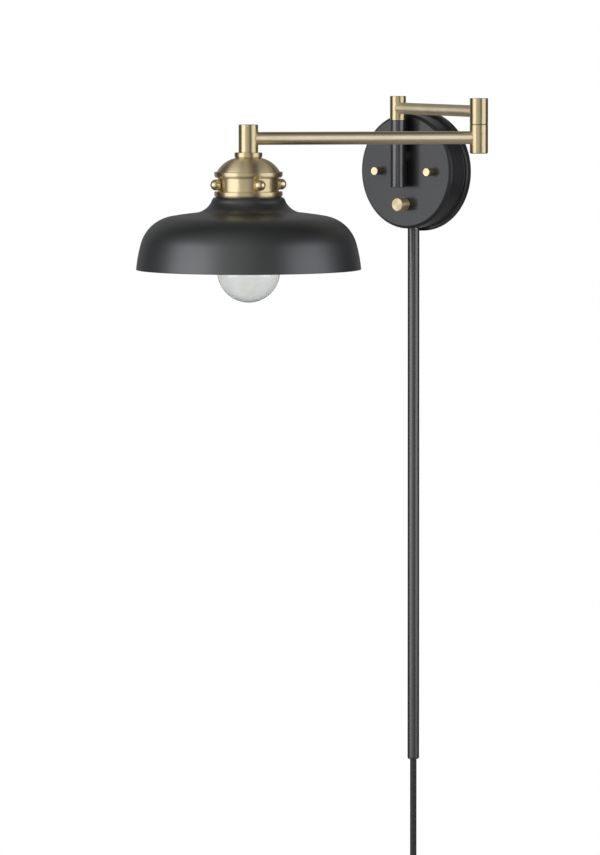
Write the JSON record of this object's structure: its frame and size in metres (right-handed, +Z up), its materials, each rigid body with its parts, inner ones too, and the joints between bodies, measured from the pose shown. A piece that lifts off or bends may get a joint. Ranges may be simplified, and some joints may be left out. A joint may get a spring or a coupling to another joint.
{
  "type": "swing arm wall sconce",
  "caption": "Plug-in swing arm wall sconce: round canopy with rotary switch, two-link swing arm, domed holder with spun shade and bulb, cord cover tube and cord with plug.",
  "frame": {"origin": "centre of the mounting bar's back face, on the wall", "axes": "+X to the right of a person facing the wall, -Y out of the wall, +Z up"},
  "size_m": [0.2881, 0.4516, 1.0329],
  "materials": {
    "black_enamel": "matte black powder coat",
    "shade_enamel": "matte black outside, white inside",
    "antique_brass": "brushed antique brass",
    "zinc_steel": "zinc plated",
    "green_screw": "green earth screw",
    "nylon_washer": "black nylon",
    "black_phenolic": "moulded phenolic",
    "cord_jacket": "matte black PVC cord",
    "connector_plastic": "orange moulded",
    "wire_insulation": "white insulation",
    "tie_plastic": "black strap",
    "plug_plastic": "moulded black",
    "plug_brass": "bright brass",
    "nickel_base": "nickel plated",
    "solder": "solder",
    "clear_glass": "clear",
    "filament": "tungsten and nickel wire"
  },
  "bodies": {
    "wall_base": {"crossbar": "zinc_steel", "canopy_studs": "zinc_steel", "ground_screw": "green_screw", "rear_pan": "black_enamel", "canopy_cover": "black_enamel", "thumb_nuts": "antique_brass", "post_boss": "black_enamel", "boss_nut": "zinc_steel", "post_tube": "black_enamel", "post_end_cap": "black_enamel", "hub_spindle": "zinc_steel", "hub_washer": "nylon_washer", "hub_nut": "zinc_steel", "switch_body": "black_phenolic", "switch_nut": "zinc_steel", "cord_tube": "black_enamel", "tube_nipple": "zinc_steel", "tube_end_bush": "black_enamel", "inner_lead": "cord_jacket", "wire_connectors": "connector_plastic", "canopy_wires": "wire_insulation", "cord_lead": "cord_jacket", "cord_coil": "cord_jacket", "cord_tie": "tie_plastic", "plug_body": "plug_plastic", "plug_blades": "plug_brass"},
    "first_arm": {"hub_barrel": "antique_brass", "hub_cap": "antique_brass", "first_arm_tube": "antique_brass", "first_arm_wires": "wire_insulation", "elbow_upper_barrel": "antique_brass", "elbow_top_cap": "antique_brass", "elbow_spindle": "zinc_steel", "elbow_washer": "nylon_washer", "elbow_nut": "zinc_steel"},
    "second_arm": {"elbow_lower_barrel": "antique_brass", "elbow_bottom_cap": "antique_brass", "second_arm_tube": "antique_brass", "second_arm_wires": "wire_insulation", "stem_barrel": "antique_brass", "stem_cap": "antique_brass", "stem_collar": "antique_brass", "stem_nipple": "zinc_steel", "nipple_nut": "zinc_steel", "dome_cap": "antique_brass", "fitter_band": "antique_brass", "ball_screws": "antique_brass", "socket_cap": "zinc_steel", "socket_body": "black_phenolic", "socket_shell": "plug_brass", "socket_contact": "plug_brass", "shade": "shade_enamel", "bulb_base": "nickel_base", "bulb_insulator": "black_phenolic", "bulb_contact": "solder", "bulb_glass": "clear_glass", "bulb_stem": "clear_glass", "bulb_filament": "filament"},
    "switch": {"switch_knob": "antique_brass", "switch_shaft": "zinc_steel"}
  },
  "joints": [
    {"name": "hub_swing", "type": "hinge", "parent": "wall_base", "child": "first_arm", "pos_m": [0, -0.0463, 0.0674], "axis": [0, 0, 1], "range_deg": [-58.4, 23]},
    {"name": "elbow_swing", "type": "hinge", "parent": "first_arm", "child": "second_arm", "pos_m": [0.20092, -0.16952, 0.054], "axis": [0, 0, 1], "range_deg": [-32.1, 102.9]},
    {"name": "switch_turn", "type": "hinge", "parent": "wall_base", "child": "switch", "pos_m": [0, -0.04, -0.0349], "axis": [0, -1, 0], "continuous": true}
  ]
}
